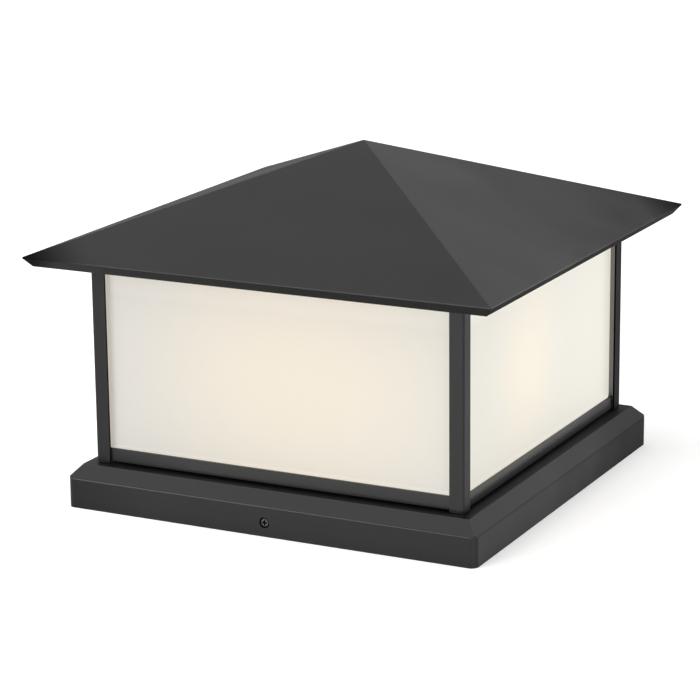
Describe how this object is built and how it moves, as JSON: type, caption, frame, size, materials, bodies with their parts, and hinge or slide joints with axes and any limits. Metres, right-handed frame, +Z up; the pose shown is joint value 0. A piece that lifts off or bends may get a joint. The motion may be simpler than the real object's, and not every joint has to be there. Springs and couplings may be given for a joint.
{
  "type": "pier mount lantern",
  "caption": "Square pier mount lantern with a hip roof, angle-post cage, moulded opal glass and a cast base that lifts off its mounting plate to reach the lamps.",
  "frame": {"origin": "middle of the base's underside, where it meets the top of the pier", "axes": "+Z up through the peak of the roof, -Y out of the front face that has a side screw, +X to the right of that face"},
  "size_m": [0.4308, 0.4308, 0.3036],
  "materials": {
    "roof_coat": "satin",
    "base_coat": "satin",
    "cage_coat": "satin",
    "white_sheet": "matte",
    "frame_alloy": "satin",
    "screw_steel": "satin",
    "black_screw": "satin",
    "opal_glass": "satin",
    "silicone": "matte",
    "plate_steel": "satin",
    "bushing_rubber": "matte",
    "green_screw": "satin",
    "porcelain": "gloss",
    "brass": "satin",
    "lamp_cap_metal": "satin",
    "lamp_envelope": "satin",
    "black_insulation": "satin",
    "white_insulation": "satin",
    "connector_plastic": "satin"
  },
  "bodies": {
    "mount": {"mounting_plate": "plate_steel", "wire_bushing": "bushing_rubber", "ground_screw": "green_screw", "lamp_bracket": "plate_steel", "bracket_screws": "screw_steel", "lampholder_left": "porcelain", "lampholder_right": "porcelain", "screw_shell_left": "brass", "screw_shell_right": "brass", "centre_contacts": "brass", "holder_nipples": "brass", "holder_nuts": "screw_steel", "black_leads": "black_insulation", "white_leads": "white_insulation", "wire_connectors": "connector_plastic"},
    "lantern": {"base_skirt": "base_coat", "roof": "roof_coat", "roof_standoffs": "frame_alloy", "roof_screws": "screw_steel", "top_plate": "white_sheet", "corner_feet": "frame_alloy", "corner_heads": "frame_alloy", "foot_screws": "screw_steel", "head_screws": "screw_steel", "glass_shade": "opal_glass", "glass_foot_cushion": "silicone", "glass_head_cushion": "silicone", "corner_post_front_left": "cage_coat", "corner_post_front_right": "cage_coat", "corner_post_back_right": "cage_coat", "corner_post_back_left": "cage_coat", "lower_rail_front": "cage_coat", "lower_rail_right": "cage_coat", "lower_rail_back": "cage_coat", "lower_rail_left": "cage_coat", "upper_rail_front": "cage_coat", "upper_rail_right": "cage_coat", "upper_rail_back": "cage_coat", "upper_rail_left": "cage_coat"},
    "screw_front": {"side_screw_front": "black_screw"},
    "screw_back": {"side_screw_back": "black_screw"},
    "lamp_left": {"lamp_cap_left": "lamp_cap_metal", "lamp_bulb_left": "lamp_envelope"},
    "lamp_right": {"lamp_cap_right": "lamp_cap_metal", "lamp_bulb_right": "lamp_envelope"}
  },
  "joints": [
    {"name": "lantern_lift", "type": "slide", "parent": "mount", "child": "lantern", "axis": [0, 0, 1], "range_m": [0, 0.17]},
    {"name": "screw_front_out", "type": "slide", "parent": "lantern", "child": "screw_front", "axis": [0, -1, 0], "range_m": [0, 0.005]},
    {"name": "screw_back_out", "type": "slide", "parent": "lantern", "child": "screw_back", "axis": [0, 1, 0], "range_m": [0, 0.005]},
    {"name": "lamp_left_unscrew", "type": "slide", "parent": "mount", "child": "lamp_left", "axis": [0, 0, 1], "range_m": [0, 0.028]},
    {"name": "lamp_right_unscrew", "type": "slide", "parent": "mount", "child": "lamp_right", "axis": [0, 0, 1], "range_m": [0, 0.028]}
  ]
}
